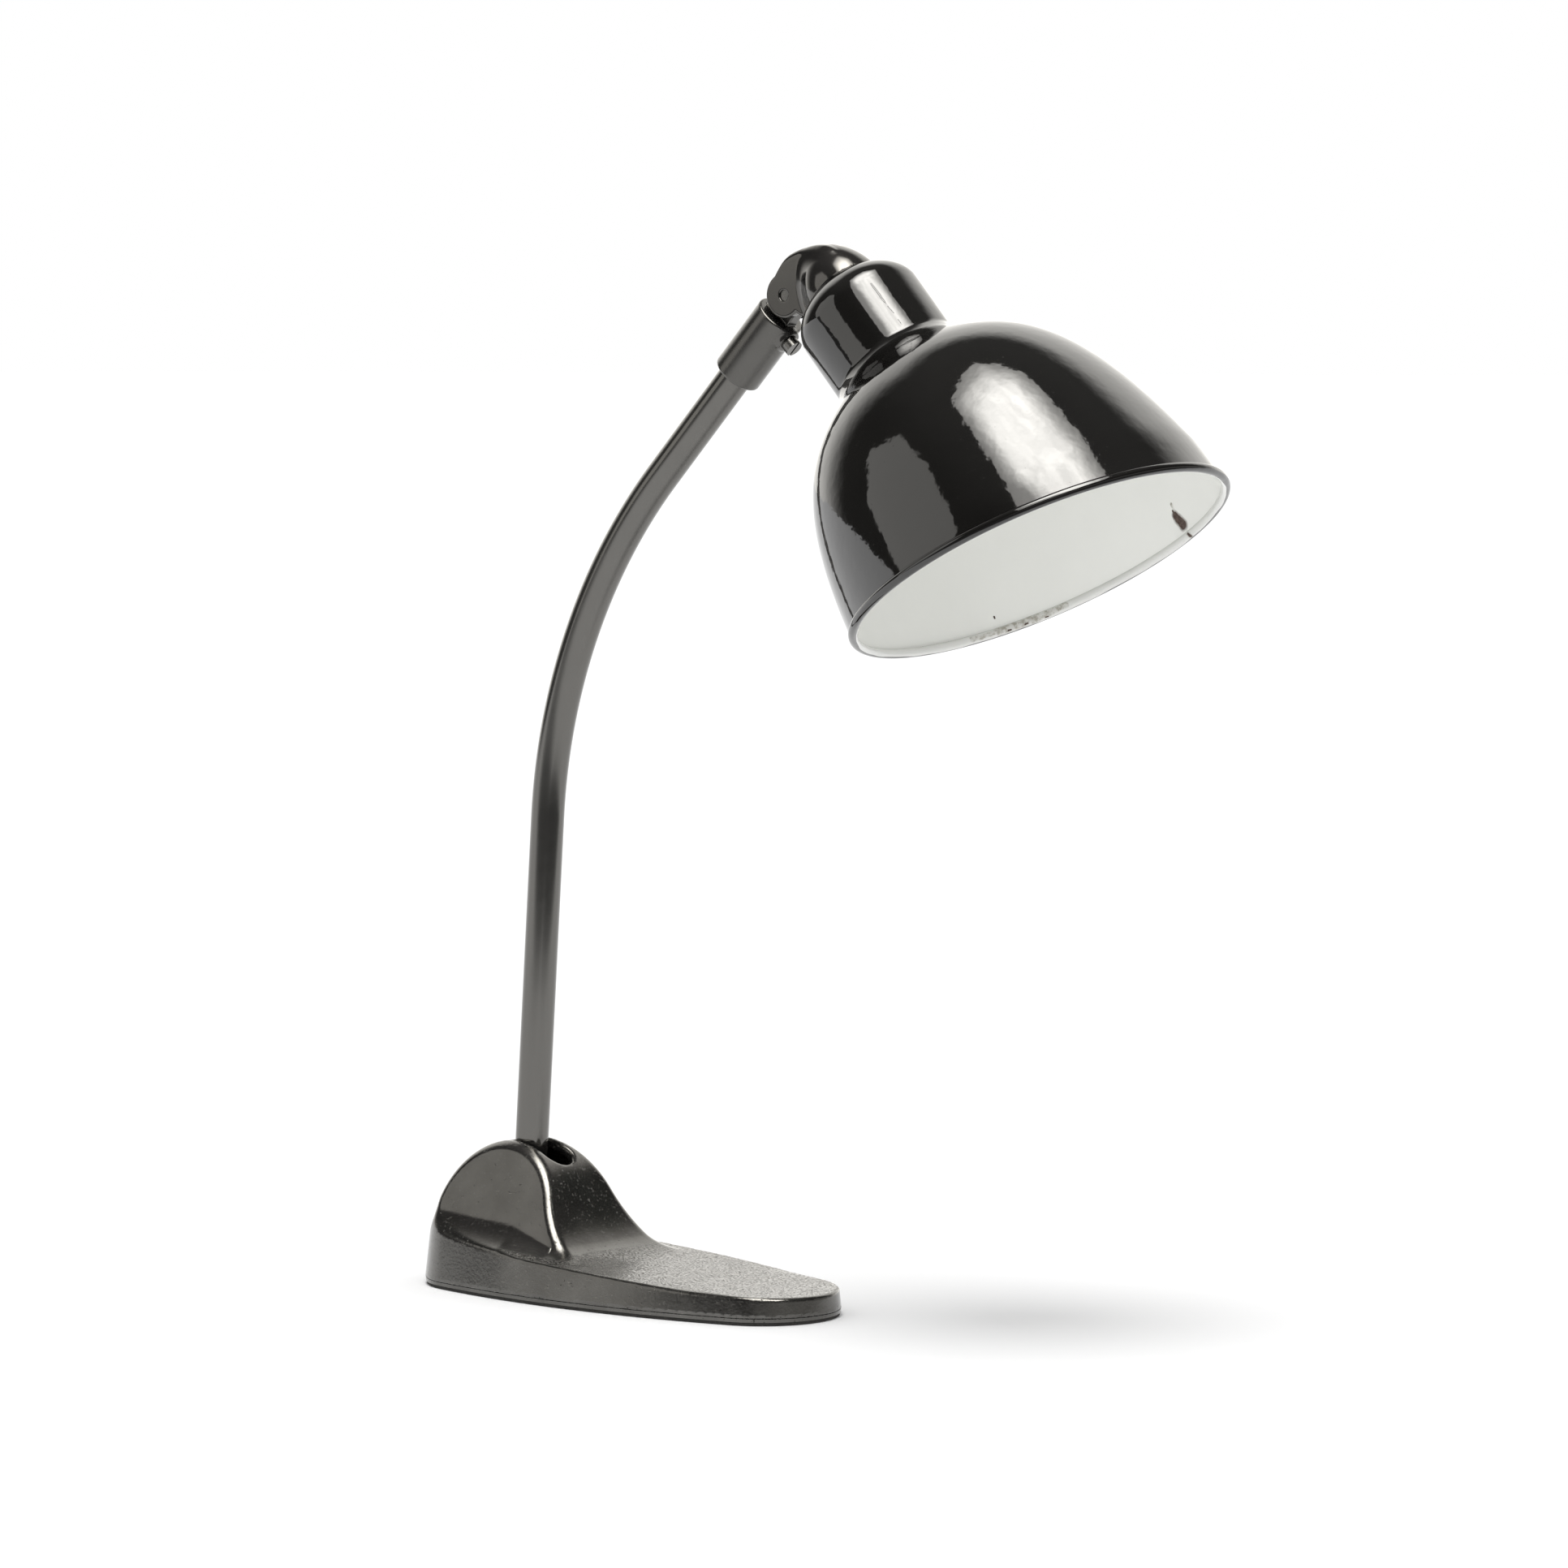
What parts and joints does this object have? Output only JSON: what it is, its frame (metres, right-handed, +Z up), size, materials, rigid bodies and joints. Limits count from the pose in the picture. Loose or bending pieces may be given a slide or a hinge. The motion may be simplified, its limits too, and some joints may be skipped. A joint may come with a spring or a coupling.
{
  "type": "desk lamp",
  "caption": "Desk lamp with a boat-shaped cast foot, a tilting bent tube arm, a swivel sleeve at its top and a bell-shaped enamelled shade on a tilting knuckle.",
  "frame": {"origin": "centre of the foot's underside, on the table", "axes": "+X to the front, the way the arm leans and the shade reaches; +Z up; the arm, sleeve, knuckle and shade lie in the plane Y = 0"},
  "size_m": [0.446, 0.185, 0.4986],
  "materials": {
    "foot_paint": "semi-gloss dark grey-brown paint over cast iron, mottled with wear",
    "arm_steel": "satin dark grey steel",
    "knuckle_metal": "satin dark grey, smooth machined casting",
    "shade_enamel": "gloss black enamel outside, white enamel inside",
    "plain_steel": "plain machined steel",
    "brass": "dull turned brass",
    "porcelain": "glazed white porcelain",
    "felt": "dark felt",
    "fibre": "red-brown pressed fibre",
    "bakelite": "dark brown bakelite"
  },
  "bodies": {
    "foot": {"base_casting": "foot_paint", "base_plate": "plain_steel", "base_pad": "felt", "plate_screws": "plain_steel", "pivot_bracket": "plain_steel", "bracket_screws": "plain_steel", "pivot_bolt": "plain_steel", "friction_washers": "fibre", "spring_washer": "plain_steel", "pivot_nut": "plain_steel", "terminal_block": "porcelain", "clamp_screws": "brass", "block_screw": "plain_steel", "cord_bush": "bakelite"},
    "arm": {"arm_tube": "arm_steel", "arm_foot": "plain_steel", "foot_pin": "plain_steel"},
    "swivel": {"swivel_sleeve": "arm_steel", "guide_screw": "plain_steel"},
    "head": {"knuckle": "knuckle_metal", "knuckle_pin": "plain_steel", "knuckle_washers": "brass", "nipple": "brass", "nipple_nut": "brass", "crown_washer": "plain_steel", "shade": "shade_enamel", "holder_body": "porcelain", "screw_shell": "brass", "centre_contact": "brass", "contact_screws": "brass"}
  },
  "joints": [
    {"name": "arm_tilt", "type": "hinge", "parent": "foot", "child": "arm", "pos_m": [-0.0652, 0, 0.034], "axis": [0, 1, 0], "range_deg": [-2, 25]},
    {"name": "head_swivel", "type": "hinge", "parent": "arm", "child": "swivel", "pos_m": [0.02091, 0, 0.39142], "axis": [0.6934, 0, 0.7206], "range_deg": [-60, 60]},
    {"name": "head_tilt", "type": "hinge", "parent": "swivel", "child": "head", "pos_m": [0.10176, 0, 0.47543], "axis": [0, -1, 0], "range_deg": [-25, 45]}
  ]
}
